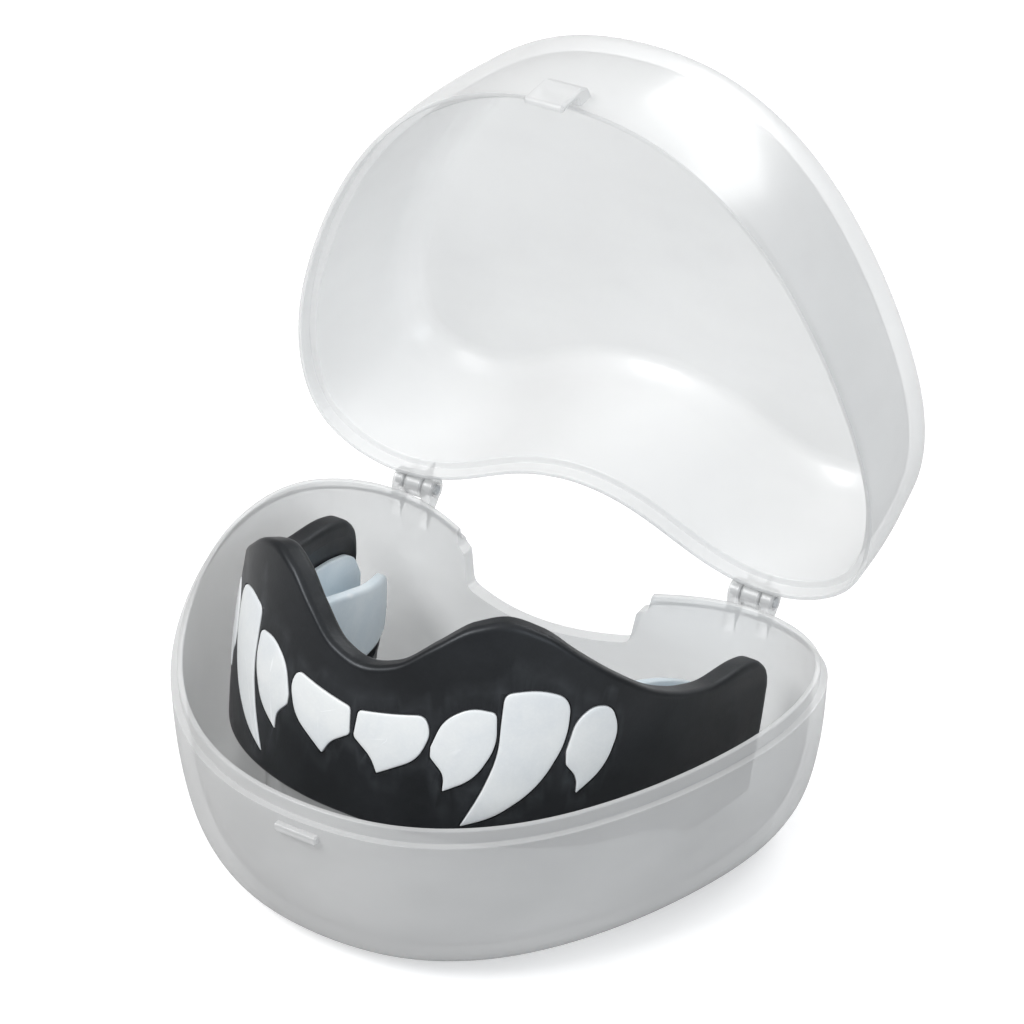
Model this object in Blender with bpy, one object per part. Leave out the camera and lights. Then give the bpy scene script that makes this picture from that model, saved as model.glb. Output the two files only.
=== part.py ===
"""Boxing mouthguard with its hinged clear case, the lid open.

Metres, +Z up, origin at the middle of the case's underside, front towards -Y.
Shapes are worked out in millimetres and scaled by MM when a mesh is made.
The guard is drawn along its arch: `along` is the arc length from the midline (negative on the
left, at -X), `out` the distance out of the front wall's face, and z is 0 at the underside of
the front bite platform.
"""

import math

import bmesh
import bpy
import numpy as np

MM = 0.001
SIDES = ((-1, "left"), (1, "right"))
SMOOTH_DEG = 35  # edges sharper than this are shaded sharp

# ---------- case sizes ----------
# (x, y) of the outer edge at the rim, right half from the front to near the middle of the back
OUTLINE_HALF = (
    (0.0, -31.7), (11.4, -30.0), (22.4, -23.6), (31.8, -12.1), (38.6, 2.4),
    (41.4, 16.3), (38.6, 26.8), (29.2, 31.6), (18.4, 30.1), (8.5, 25.6),
)
OUTLINE_BACK = (0.0, 24.0)
CASE_SAMPLES = 64
SPLINE_STEPS = 60  # fine steps per span when the outline is measured

LID_GAP = 0.3  # between the closed lid and the base, at the ledge and at the rim
LEDGE_Z = 22.7
RIM_Z = 24.5
RIM_INSET = 0.9
SKIRT_Z = LEDGE_Z + LID_GAP
LID_SEAT_Z = RIM_Z + LID_GAP
LID_TOP_Z = 45.8
LID_CEILING_Z = LID_TOP_Z - 1.5
FLOOR_Z = 1.5

# (z, inset from the outline), up the outside and down the inside
BASE_PROFILE = (
    (0.0, 9.4), (0.35, 7.3), (1.5, 5.1), (3.6, 3.2), (6.6, 1.8), (10.8, 0.85), (15.5, 0.3),
    (LEDGE_Z, 0.0), (LEDGE_Z, RIM_INSET), (RIM_Z - 0.2, RIM_INSET), (RIM_Z, 1.1), (RIM_Z, 1.6),
    (21.5, 1.75), (15.8, 2.0), (11.2, 2.5), (7.4, 3.4), (4.6, 4.7), (2.7, 6.4), (1.7, 8.4),
    (FLOOR_Z, 9.8),
)
# (z, inset from the outline), down the outside and up the inside
LID_PROFILE = (
    (LID_TOP_Z, 6.4), (LID_TOP_Z - 0.4, 4.6), (LID_TOP_Z - 1.5, 3.2), (LID_TOP_Z - 3.5, 2.1),
    (39.2, 1.45), (34.5, 0.75), (29.0, 0.2), (SKIRT_Z, 0.0), (SKIRT_Z, 0.6),
    (LID_SEAT_Z, 0.65), (LID_SEAT_Z, 1.65), (29.0, 1.85), (34.5, 2.35), (39.0, 3.05),
    (41.4, 3.8), (43.0, 4.9), (LID_CEILING_Z - 0.2, 6.0), (LID_CEILING_Z, 7.2),
)

RIB_THICK = 1.6
RIB_MIDDLE = -5.2
RIB_FLARE = 0.15  # each side of the foot
RIB_CHAMFER = 0.3
RIB_SINK = 0.7  # foot below the floor's face
PAD_START = 43.5  # arc length where the rib drops for the rear pads
RIB_END_STATIONS = np.array([43.2, 44.2, 48, 52, 56, 60.5])
RIB_MIDDLE_STATIONS = np.linspace(-39, 39, 23)

NOTCH_HALF_TOP = 14.0
NOTCH_HALF_LOW = 12.0
NOTCH_Z = 17.3
NOTCH_Y = (18.0, 32.6)

# ---------- hinge and latch sizes ----------
HINGE_X = 25.0
HINGE_Y = 33.7
HINGE_Z = 24.1
HINGE_AXIS = (0.0, HINGE_Y, HINGE_Z)
BARREL_R = 1.65
BARREL_POINTS = 14
BORE_R = 1.0
BORE_HALF = 4.2
PIN_R = 0.7
PIN_CHAMFER = 0.2
ROD_SIDES = 20
KNUCKLE_HALF = 1.2
LUG_INNER = KNUCKLE_HALF + 0.3
LUG_OUTER = LUG_INNER + 1.5
PIN_HALF = LUG_OUTER + 0.1
LID_OPEN_DEG = 85.0

CATCH_HALF = 2.9
CATCH_PROFILE = (  # (y, z)
    (-30.90, 20.4), (-32.10, 20.5), (-32.35, 20.8),
    (-32.35, 21.3), (-32.10, 21.6), (-30.90, 21.7),
)
TAB_HALF = 2.6
TAB_PROFILE = (  # (y, z) with the lid closed
    (-31.20, 23.6), (-32.80, 23.2), (-32.80, 20.4), (-32.65, 20.2), (-32.65, 19.8),
    (-32.90, 19.4), (-33.40, 19.4), (-33.70, 19.8), (-33.70, 24.1), (-32.90, 25.7),
    (-31.10, 26.5),
)

# ---------- mouthguard sizes ----------
GUARD_Z = 17.2  # height of the platform's front edge in the case
GUARD_PITCH = math.radians(13.0)  # the guard leans back, its rear pads low in the case
GUARD_FRONT_Y = -22.5
ARC_END = 64.0
STATIONS = 47
HEADING = (  # (arc length, heading of the outer wall in degrees)
    (0.0, 0.0), (5.0, 8.0), (12.0, 20.5), (19.0, 34.0), (26.0, 48.5), (33.0, 62.5),
    (40.0, 74.5), (48.0, 83.5), (57.0, 88.0), (64.0, 89.5), (72.0, 90.5),
)
WALL_HEIGHT = (  # (arc length, height)
    (0.0, 19.6), (4.0, 20.6), (8.8, 24.1), (13.2, 27.1), (17.5, 28.2), (22.0, 27.2),
    (27.0, 24.5), (33.0, 21.3), (39.0, 18.6), (45.0, 17.1), (50.0, 16.5), (56.0, 16.7),
    (60.0, 16.3), (62.6, 14.8), (64.0, 12.2),
)
PLATFORM_WIDE = (  # (arc length, width)
    (0.0, 10.2), (12.0, 10.0), (24.0, 9.6), (33.0, 9.9), (40.0, 11.0), (46.0, 12.5),
    (50.5, 12.8), (54.5, 12.3), (58.5, 11.1), (61.8, 9.6), (64.0, 8.0),
)
PALATE_HEIGHT = (  # (arc length, height)
    (0.0, 10.2), (14.0, 10.8), (28.0, 12.6), (42.0, 13.2), (54.0, 12.0), (60.0, 10.6),
    (64.0, 8.0),
)
LEAN_RATE = 0.0036
WIDEST_Z = 9.0
RIM_THICK = 3.1
WEB_THICK = 2.6
PLATFORM_THICK = 2.8
LINER_THICK = 1.0
PALATE_THICK = 2.3
FIT_GAP = 0.3

PAD_DROP = 3.0
PAD_TOP = 1.6
PAD_BEVEL = 0.5
PAD_HALF_LOOP = (  # (along, out) before pad_at
    (44.0, -0.2), (42.2, -1.8), (40.7, -4.6), (40.0, -7.6), (40.2, -10.4), (41.4, -12.9),
    (43.6, -14.6), (46.6, -15.1), (50.5, -14.7), (54.0, -13.7), (57.5, -12.3),
    (60.5, -10.8), (63.0, -9.1), (64.15, -7.6), (64.2, -4.2), (63.6, -1.2), (62.6, -0.3),
    (56.0, -0.15), (50.0, -0.15),
)
PAD_MIDDLE = (  # (along, out) of the meander's middle, before pad_at
    (38.0, -8.3), (44.0, -8.2), (50.0, -7.7), (56.0, -6.7), (62.0, -5.5), (68.0, -4.4),
)
PAD_SWING = 2.1  # from the meander's middle to its bars
PAD_STEPS_FROM = 44.2
PAD_STEP_PITCH = 5.0
PAD_CORE_ENDS = ((0, 1, 46.7), (-1, -2, 63.4))  # end point, its neighbour, arc length to stop at

FRONT_GROOVE_HALF = 0.95
PAD_GROOVE_HALF = 0.88
FRONT_GROOVE_DEEP = 1.7
PAD_GROOVE_DEEP = 1.8
CORE_THICK = 0.6
CUT_CLEAR = 1.0  # groove cutters start this far below the face

FANG_DEEP = 0.85
FANG_PROUD = 0.08
POCKET_DEEP = 1.2
POCKET_CLEAR = 1.5
FANG_GAP = 0.25
# Fang outlines as (share of the length along the arch, share of the height)
CENTRAL = (
    (0.0, 0.50), (-0.02, 0.66), (0.0, 0.80), (0.05, 0.87), (0.45, 0.93), (0.88, 1.0),
    (0.97, 0.97), (1.0, 0.88), (0.97, 0.68), (0.86, 0.36), (0.66, 0.14), (0.37, 0.0),
    (0.30, 0.15), (0.20, 0.28),
)
LATERAL = (
    (0.0, 0.50), (0.07, 0.67), (0.26, 0.86), (0.52, 0.97), (0.80, 1.0), (0.96, 0.96),
    (1.0, 0.84), (0.95, 0.60), (0.80, 0.34), (0.56, 0.13), (0.26, 0.0), (0.25, 0.13),
    (0.17, 0.28), (0.05, 0.42),
)
CANINE = (
    (0.0, 0.0), (0.10, 0.16), (0.20, 0.34), (0.28, 0.55), (0.31, 0.76), (0.31, 0.89),
    (0.36, 0.965), (0.56, 1.0), (0.80, 0.99), (0.95, 0.93), (1.0, 0.84), (0.97, 0.68),
    (0.86, 0.48), (0.66, 0.29), (0.40, 0.13), (0.2, 0.055),
)
FANGS = {  # outline, arc length from and to, height from and to
    "central": (CENTRAL, 0.45, 9.6, 6.9, 15.4),
    "lateral": (LATERAL, 10.1, 17.4, 6.6, 17.3),
    "canine": (CANINE, 14.5, 25.7, 2.4, 20.0),
    "outer": (LATERAL, 25.95, 32.3, 7.4, 18.0),
}


# ---------- curves ----------
def smooth_curve(table, at):
    """Monotone cubic through the table's points."""
    xs, ys = np.array(table, float).T
    widths = np.diff(xs)
    slopes = np.diff(ys) / widths
    product = slopes[:-1] * slopes[1:]
    total = slopes[:-1] + slopes[1:]
    tangents = np.zeros(len(xs))
    tangents[1:-1] = np.where(product > 0, 2 * product / np.where(total == 0, 1, total), 0)
    tangents[-1] = slopes[-1]
    at = np.clip(at, xs[0], xs[-1])
    i = np.clip(np.searchsorted(xs, at, side="right") - 1, 0, len(widths) - 1)
    share = (at - xs[i]) / widths[i]
    return (
        ys[i] * (1 + 2 * share) * (1 - share) ** 2
        + widths[i] * tangents[i] * share * (1 - share) ** 2
        + ys[i + 1] * share * share * (3 - 2 * share)
        + widths[i] * tangents[i + 1] * share * share * (share - 1)
    )


def closed_spline(knots, count):
    """A periodic cubic spline through the knots, at equal steps of arc length."""
    knots = np.array(knots, float)
    total = len(knots)
    spans = np.linalg.norm(np.roll(knots, -1, 0) - knots, axis=1)
    matrix = np.zeros((total, total))
    target = np.zeros((total, 2))
    for i in range(total):
        j, k = (i - 1) % total, (i + 1) % total
        matrix[i, j] += spans[j]
        matrix[i, i] += 2 * (spans[j] + spans[i])
        matrix[i, k] += spans[i]
        target[i] = 6 * ((knots[k] - knots[i]) / spans[i] - (knots[i] - knots[j]) / spans[j])
    bend = np.linalg.solve(matrix, target)
    dense = []
    for i in range(total):
        k = (i + 1) % total
        span = spans[i]
        for done in np.arange(SPLINE_STEPS) / SPLINE_STEPS * span:
            left = span - done
            dense.append(
                bend[i] * left**3 / (6 * span)
                + bend[k] * done**3 / (6 * span)
                + (knots[i] / span - bend[i] * span / 6) * left
                + (knots[k] / span - bend[k] * span / 6) * done
            )
    dense = np.array(dense + [dense[0]])
    run = np.concatenate([[0], np.cumsum(np.linalg.norm(np.diff(dense, axis=0), axis=1))])
    at = np.arange(count) / count * run[-1]
    return np.stack([np.interp(at, run, dense[:, c]) for c in (0, 1)], axis=1)


def inward(loop):
    """Unit normals pointing into a loop that runs anticlockwise."""
    tangent = np.roll(loop, -1, 0) - np.roll(loop, 1, 0)
    tangent /= np.linalg.norm(tangent, axis=1)[:, None]
    return np.stack([-tangent[:, 1], tangent[:, 0]], axis=1)


def case_outline():
    mirrored = [(-x, y) for x, y in OUTLINE_HALF[:0:-1]]
    return closed_spline([*OUTLINE_HALF, OUTLINE_BACK, *mirrored], CASE_SAMPLES)


CASE = case_outline()
CASE_IN = inward(CASE)


def running_sum(values, step):
    """Integral from the first value on, by trapezoids."""
    return np.concatenate([[0], np.cumsum((values[1:] + values[:-1]) / 2 * step)])


def arch_table():
    """Arc length, heading, x and y along the right half of the guard's outer wall."""
    along = np.linspace(0, 72, 1441)
    heading = np.radians(smooth_curve(HEADING, along))
    step = along[1] - along[0]
    x = running_sum(np.cos(heading), step)
    y = running_sum(np.sin(heading), step) + GUARD_FRONT_Y
    return along, heading, x, y


ARCH_ALONG, ARCH_HEADING, ARCH_X, ARCH_Y = arch_table()


def at_arch(along, out, z):
    """The (x, y, z) points of the guard at these arch coordinates."""
    along, out, z = np.broadcast_arrays(*(np.asarray(v, float) for v in (along, out, z)))
    side = np.where(along < 0, -1.0, 1.0)
    heading = np.interp(abs(along), ARCH_ALONG, ARCH_HEADING)
    x = np.interp(abs(along), ARCH_ALONG, ARCH_X) + out * np.sin(heading)
    y = np.interp(abs(along), ARCH_ALONG, ARCH_Y) - out * np.cos(heading)
    return np.stack([side * x, y, z], axis=-1)


def lean(z):
    """Offset of the front wall's face from its widest place, negative inwards."""
    return -LEAN_RATE * np.asarray(z - WIDEST_Z, float) ** 2


# ---------- flat outlines ----------
def turning(loop):
    """Twice the signed area, positive for an anticlockwise loop."""
    following = np.roll(loop, -1, 0)
    return np.sum(loop[:, 0] * following[:, 1] - loop[:, 1] * following[:, 0])


def grown(loop, distance):
    """A polygon moved out by a distance along mitred corners."""
    loop = np.array(loop, float)
    edges = np.roll(loop, -1, 0) - loop
    edges /= np.linalg.norm(edges, axis=1)[:, None]
    normals = np.stack([edges[:, 1], -edges[:, 0]], axis=1) * np.sign(turning(loop))
    middle = normals + np.roll(normals, 1, 0)
    middle /= np.maximum(1e-9, np.linalg.norm(middle, axis=1))[:, None]
    reach = distance / np.maximum(0.5, np.sum(middle * normals, axis=1))
    return loop + middle * reach[:, None]


def band(path, half, pointed_ends=False):
    """The outline of a strip of even width along a zigzag path, with mitred corners."""
    path = np.array(path, float)
    edges = np.diff(path, axis=0)
    edges /= np.linalg.norm(edges, axis=1)[:, None]
    normals = np.stack([-edges[:, 1], edges[:, 0]], axis=1)
    offsets = [normals[0] * half]
    for before, after in zip(normals[:-1], normals[1:]):
        middle = before + after
        middle /= np.linalg.norm(middle)
        offsets.append(middle * (half / max(0.42, float(middle @ after))))
    offsets.append(normals[-1] * half)
    left = [p + offset for p, offset in zip(path, offsets)]
    right = [p - offset for p, offset in zip(path, offsets)]
    if pointed_ends:
        first = path[0] - edges[0] * half * 0.75
        last = path[-1] + edges[-1] * half * 0.75
        return [first] + left + [last] + right[::-1]
    return left + right[::-1]


def eased(loop, inner_cut, outer_cut):
    """A loop with its corners cut off: inner_cut at the hollow ones, outer_cut at the others."""
    loop = np.array(loop, float)
    direction = np.sign(turning(loop))
    points = []
    for i, corner in enumerate(loop):
        back = loop[i - 1] - corner
        ahead = loop[(i + 1) % len(loop)] - corner
        turn = (back[0] * ahead[1] - back[1] * ahead[0]) * direction
        back_long, ahead_long = np.linalg.norm(back), np.linalg.norm(ahead)
        cut = min(inner_cut if turn > 0 else outer_cut, 0.4 * back_long, 0.4 * ahead_long)
        if abs(turn) < 0.3 * back_long * ahead_long or cut < 0.05:
            points.append(corner)
        else:
            points += [corner + back / back_long * cut, corner + ahead / ahead_long * cut]
    return points


def refined(loop, longest=1.6):
    """The same outline with long edges split, so that it bends with the arch."""
    loop = np.array(loop, float)
    points = []
    for start, end in zip(loop, np.roll(loop, -1, 0)):
        count = max(1, math.ceil(np.linalg.norm(end - start) / longest))
        points += [start + (end - start) * i / count for i in range(count)]
    return points


# ---------- bodies: (points, faces) ----------
def loft(rings):
    """A closed body through rings of equal length, with a flat cap at each end."""
    size = len(rings[0])
    last = (len(rings) - 1) * size
    faces = [tuple(range(size))[::-1]]
    for low in range(0, last, size):
        high = low + size
        for i in range(size):
            k = (i + 1) % size
            faces.append((low + i, low + k, high + k, high + i))
    faces.append(tuple(range(last, last + size)))
    return np.concatenate(rings), faces


def join(bodies):
    points, faces, start = [], [], 0
    for body_points, body_faces in bodies:
        points.append(body_points)
        faces += [tuple(i + start for i in face) for face in body_faces]
        start += len(body_points)
    return np.concatenate(points), faces


def case_loft(profile):
    return loft([np.column_stack([CASE + CASE_IN * inset, np.full(len(CASE), z)])
                 for z, inset in profile])


def prism_x(profile, x0, x1):
    """A (y, z) profile carried from x0 to x1."""
    return loft([np.array([(x, y, z) for y, z in profile]) for x in (x0, x1)])


def hinge_rod(stations):
    """A round body on the hinge axis through (x, radius) stations."""
    angle = np.arange(ROD_SIDES) / ROD_SIDES * 2 * math.pi
    return loft([
        np.column_stack([
            np.full(ROD_SIDES, x),
            HINGE_Y + radius * np.cos(angle),
            HINGE_Z + radius * np.sin(angle),
        ])
        for x, radius in stations
    ])


def swept(section):
    """A section carried round the arch, its stations closer together at the ends."""
    share = np.linspace(-1, 1, STATIONS)
    rings = []
    for along in ARC_END * (share + 0.10 * np.sin(share * math.pi)):
        out, z = np.array(section(along)).T
        rings.append(at_arch(along, out, z))
    return loft(rings)


def slab(loop, z0, z1, bevel=0.0):
    """An (along, out) outline carried from z0 up to z1, its lower edge bevelled."""
    levels = [(loop, z1)]
    if bevel:
        levels += [(loop, z0 + bevel), (grown(loop, -bevel), z0)]
    else:
        levels.append((loop, z0))
    return loft([at_arch(*np.array(level, float).T, z) for level, z in levels])


# ---------- objects ----------
def material(name, rgb, roughness, alpha=1.0, transmission=0.0):
    surface = bpy.data.materials.new(name)
    surface.use_nodes = True
    inputs = surface.node_tree.nodes["Principled BSDF"].inputs
    inputs["Base Color"].default_value = (*rgb, 1)
    inputs["Roughness"].default_value = roughness
    inputs["Alpha"].default_value = alpha
    inputs["Transmission Weight"].default_value = transmission
    surface.diffuse_color = (*rgb, 1)
    return surface


def add_object(name, body, surface=None, origin=(0, 0, 0)):
    """An object from a body; without a surface it is a hidden helper for a Boolean."""
    points, faces = body
    mesh = bpy.data.meshes.new(name)
    local = (np.asarray(points, float) - np.asarray(origin, float)) * MM
    mesh.from_pydata([tuple(p) for p in local], [], faces)
    bm = bmesh.new()
    bm.from_mesh(mesh)
    bmesh.ops.recalc_face_normals(bm, faces=bm.faces)
    bm.to_mesh(mesh)
    bm.free()
    for polygon in mesh.polygons:
        polygon.use_smooth = True
    mesh.set_sharp_from_angle(angle=math.radians(SMOOTH_DEG))
    obj = bpy.data.objects.new(name, mesh)
    obj.location = [v * MM for v in origin]
    bpy.context.scene.collection.objects.link(obj)
    if surface is None:
        obj.hide_render = True
        obj.display_type = "WIRE"
    else:
        mesh.materials.append(surface)
    return obj


def boolean(obj, operation, other):
    modifier = obj.modifiers.new(operation.lower(), "BOOLEAN")
    modifier.operation = operation
    modifier.solver = "EXACT"
    modifier.object = other
    modifier.use_self = operation == "DIFFERENCE"  # cutters that touch act as one


def add_and_cut(obj, added, cutter):
    """Union, then difference, then shading that follows the large faces,
    since a Boolean leaves long many-sided ones."""
    boolean(obj, "UNION", added)
    boolean(obj, "DIFFERENCE", cutter)
    obj.modifiers.new("triangles", "TRIANGULATE")
    obj.modifiers.new("normals", "WEIGHTED_NORMAL").keep_sharp = True


# ---------- case ----------
def cradle_rib():
    """The U-shaped rib on the floor that carries the leaning guard along its underside."""
    stations = np.concatenate([-RIB_END_STATIONS[::-1], RIB_MIDDLE_STATIONS, RIB_END_STATIONS])
    half = RIB_THICK / 2
    foot, crest = half + RIB_FLARE, half - RIB_CHAMFER
    out = np.array([-foot, foot, half, crest, -crest, -half]) + RIB_MIDDLE
    bottom = FLOOR_Z - RIB_SINK
    rings = []
    for along in stations:
        y = at_arch(along, RIB_MIDDLE, 0.0)[1]
        drop = (PAD_DROP + 0.4 if abs(along) > PAD_START else 0.0) + FIT_GAP + 0.1
        underside = GUARD_Z - (y - GUARD_FRONT_Y) * math.tan(GUARD_PITCH)
        top = underside - drop / math.cos(GUARD_PITCH) - 0.2
        shoulder = top - RIB_CHAMFER
        rings.append(at_arch(along, out, [bottom, bottom, shoulder, top, top, shoulder]))
    return loft(rings)


def notch():
    """The cutter of the wide notch in the back wall."""
    right = [
        (NOTCH_HALF_LOW, NOTCH_Z),
        (NOTCH_HALF_LOW + 0.7, RIM_Z - 2.6),
        (NOTCH_HALF_TOP, RIM_Z - 2.2),
        (NOTCH_HALF_TOP + 0.5, RIM_Z + 1),
    ]
    loop = right + [(-x, z) for x, z in right[::-1]]
    return loft([np.array([(x, y, z) for x, z in loop]) for y in NOTCH_Y])


def barrel(start_deg, end_deg):
    """Points round a hinge barrel, in (y, z)."""
    return [
        (HINGE_Y + BARREL_R * math.cos(angle), HINGE_Z + BARREL_R * math.sin(angle))
        for angle in np.radians(np.linspace(start_deg, end_deg, BARREL_POINTS))
    ]


def lug_profile():
    return barrel(180, -65) + [
        (HINGE_Y - 2.9, HINGE_Z - 5.4),
        (HINGE_Y - 2.8, HINGE_Z - 1.7),
        (HINGE_Y - 1.9, HINGE_Z - 1.7),
    ]


def knuckle_profile():
    return barrel(-180, 60) + [
        (HINGE_Y - 2.0, HINGE_Z + 4.6),
        (HINGE_Y - 2.9, HINGE_Z + 4.6),
        (HINGE_Y - 2.6, HINGE_Z + 0.8),
        (HINGE_Y - 2.0, HINGE_Z + 0.5),
    ]


def hinge_prisms(profile, spans):
    """A profile over each (from, to) span in x about each hinge's middle."""
    return [
        prism_x(profile, side * HINGE_X + x0, side * HINGE_X + x1)
        for side, _ in SIDES
        for x0, x1 in spans
    ]


def bores():
    return [
        hinge_rod([(side * HINGE_X + x, BORE_R) for x in (-BORE_HALF, BORE_HALF)])
        for side, _ in SIDES
    ]


def make_base(surface):
    base = add_object("case_base", case_loft(BASE_PROFILE), surface)
    lugs = hinge_prisms(lug_profile(), ((-LUG_OUTER, -LUG_INNER), (LUG_INNER, LUG_OUTER)))
    catch = prism_x(CATCH_PROFILE, -CATCH_HALF, CATCH_HALF)
    added = add_object("add_base", join(lugs + [catch, cradle_rib()]))
    add_and_cut(base, added, add_object("cut_base", join(bores() + [notch()])))


def add_lid_part(name, body, surface=None):
    """A part drawn with the lid closed and swung open about the hinge axis."""
    obj = add_object(name, body, surface, origin=HINGE_AXIS)
    obj.rotation_euler = (-math.radians(LID_OPEN_DEG), 0, 0)
    return obj


def make_lid(surface):
    lid = add_lid_part("case_lid", case_loft(LID_PROFILE), surface)
    knuckles = hinge_prisms(knuckle_profile(), ((-KNUCKLE_HALF, KNUCKLE_HALF),))
    tab = prism_x(TAB_PROFILE, -TAB_HALF, TAB_HALF)
    added = add_lid_part("add_lid", join(knuckles + [tab]))
    add_and_cut(lid, added, add_lid_part("cut_lid", join(bores())))


def make_hinge_pins(surface):
    shoulder = PIN_HALF - PIN_CHAMFER
    end_r = PIN_R - PIN_CHAMFER
    stations = ((-PIN_HALF, end_r), (-shoulder, PIN_R), (shoulder, PIN_R), (PIN_HALF, end_r))
    for side, word in SIDES:
        middle = side * HINGE_X
        pin = hinge_rod([(middle + x, radius) for x, radius in stations])
        add_object(f"hinge_pin_{word}", pin, surface, origin=(middle, HINGE_Y, HINGE_Z))


# ---------- mouthguard ----------
def shell_section(along):
    """(out, z) of the front wall and bite platform, up the outer face and down the inner."""
    along = abs(along)
    high = smooth_curve(WALL_HEIGHT, along)
    wide = smooth_curve(PLATFORM_WIDE, along) - 0.35
    thick = PLATFORM_THICK
    # The lower front edge is rounder at the ends of the arch
    edge = 0.9 + 0.6 * (1 - np.clip((ARC_END - along) / 1.5, 0, 1))
    web = -WEB_THICK
    rim = lean(high)
    return [
        (-edge, 0.0),
        (-0.25 * edge, 0.25 * edge),
        (lean(edge), edge),
        (lean(0.4 * high), 0.4 * high),
        (lean(0.72 * high), 0.72 * high),
        (rim + 0.1, high - 1.3),
        (rim - 0.45, high - 0.35),
        (rim - RIM_THICK / 2, high),
        (rim - RIM_THICK + 0.4, high - 0.4),
        (rim - RIM_THICK, high - 1.4),
        (web + lean(0.7 * high), 0.70 * high),
        (web, 0.42 * high),
        (web - 0.2, thick + 0.8),
        (web - 1.0, thick),
        (-wide + 0.6, thick),
        (-wide, thick - 0.6),
        (-wide, 0.6),
        (-wide + 0.6, 0.0),
    ]


def liner_section(along):
    """(out, z) of the liner's channel, from the top of its front wall round its inside."""
    along = abs(along)
    high = smooth_curve(WALL_HEIGHT, along)
    inner = -smooth_curve(PLATFORM_WIDE, along)
    palate = smooth_curve(PALATE_HEIGHT, along)
    web = -WEB_THICK - FIT_GAP - 0.05
    face = web - LINER_THICK
    floor = PLATFORM_THICK + LINER_THICK + 0.5
    top = 0.70 * high
    return [
        (web + lean(top) - 0.3, top),
        (face + lean(top), top - 0.1),
        (face, 0.45 * high),
        (face - 0.5, floor + 0.7),
        (face - 1.3, floor),
        (inner + PALATE_THICK + 0.9, floor),
        (inner + PALATE_THICK + 0.1, floor + 0.8),
        (inner + PALATE_THICK - 0.3, palate - 0.9),
        (inner + PALATE_THICK / 2, palate),
        (inner + 0.35, palate - 0.8),
        (inner - 0.05, 0.6 * palate),
        (inner - 0.1, PLATFORM_THICK + 1.2),
        (inner + 0.3, PLATFORM_THICK + FIT_GAP + 0.15),
        (web - 1.05, PLATFORM_THICK + FIT_GAP),
        (web - 0.25, PLATFORM_THICK + 1.0),
        (web - 0.02, 0.45 * high),
    ]


def pad_at(along, out):
    """Pads are drawn from 40 to 64.2 along and then drawn in to their place on the arch."""
    return 45.6 + (along - 40.0) * 0.76, out * 0.86


def mirrored_pad(points, side):
    placed = [pad_at(along, out) for along, out in points]
    return [(side * along, out) for along, out in placed]


def front_path():
    """The meander of the front groove: outer and inner bars joined by square steps."""
    outer, inner = -3.9, -6.7
    near, far, end = 3.5, 10.3, 17.5
    right = [(near, outer), (near, inner), (far, inner), (far, outer), (end, outer)]
    return [(-along, out) for along, out in right[::-1]] + right


def pad_path(side):
    """The meander of a rear pad, which starts and ends on its inner bars."""
    steps = [(39.0, -0.9), (41.6, -PAD_SWING)]
    swing = PAD_SWING
    for i in range(4):
        along = PAD_STEPS_FROM + i * PAD_STEP_PITCH
        steps += [(along, -swing), (along, swing)]
        swing = -swing
    steps.append((66.5, -PAD_SWING))
    drawn = [(along, float(smooth_curve(PAD_MIDDLE, along)) + out) for along, out in steps]
    return mirrored_pad(drawn, side)


def pad_core_path(side):
    """The pad's meander, stopped short of the groove's open ends."""
    path = pad_path(side)
    for end, neighbour, stop in PAD_CORE_ENDS:
        start, other = path[end], path[neighbour]
        share = (side * stop - start[0]) / (other[0] - start[0])
        path[end] = (side * stop, start[1] + share * (other[1] - start[1]))
    return path


def groove_cutters():
    front = refined(eased(band(front_path(), FRONT_GROOVE_HALF, True), 0.45, 0.2))
    cutters = [slab(front, -CUT_CLEAR, FRONT_GROOVE_DEEP)]
    for side, _ in SIDES:
        loop = refined(eased(band(pad_path(side), PAD_GROOVE_HALF), 0.6, 0.25))
        cutters.append(slab(loop, -PAD_DROP - CUT_CLEAR, -PAD_DROP + PAD_GROOVE_DEEP))
    return cutters


def fang_loops():
    """(object name, loop of (along, z)) of every fang."""
    return [
        (
            f"fang_{name}_{word}",
            [(side * (s0 + u * (s1 - s0)), z0 + v * (z1 - z0)) for u, v in shape],
        )
        for name, (shape, s0, s1, z0, z1) in FANGS.items()
        for side, word in SIDES
    ]


def fang_body(loop, inner, outer):
    along, z = np.array(loop, float).T
    return loft([at_arch(along, lean(z) + out, z) for out in (inner, outer)])


def add_guard_part(name, body, surface=None):
    """A part of the guard, leaned back about the line of the guard's front edge."""
    obj = add_object(name, body, surface)
    obj.rotation_euler = (-GUARD_PITCH, 0, 0)
    y = GUARD_FRONT_Y * (1 - math.cos(GUARD_PITCH))
    z = GUARD_Z + GUARD_FRONT_Y * math.sin(GUARD_PITCH)
    obj.location = (0.0, y * MM, z * MM)
    return obj


def make_shell(surface):
    shell = add_guard_part("guard_outer_shell", swept(shell_section), surface)
    pads = [
        slab(mirrored_pad(PAD_HALF_LOOP, side), -PAD_DROP, PAD_TOP, PAD_BEVEL)
        for side, _ in SIDES
    ]
    pockets = [
        fang_body(grown(loop, FANG_GAP), -POCKET_DEEP, POCKET_CLEAR) for _, loop in fang_loops()
    ]
    added = add_guard_part("add_shell", join(pads))
    add_and_cut(shell, added, add_guard_part("cut_shell", join(groove_cutters() + pockets)))


def add_core(word, loop, groove_top, surface):
    """A strip lying in a groove, a fit gap below the groove's top."""
    top = groove_top - FIT_GAP
    add_guard_part(f"bite_core_{word}", slab(refined(loop), top - CORE_THICK, top), surface)


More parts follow.
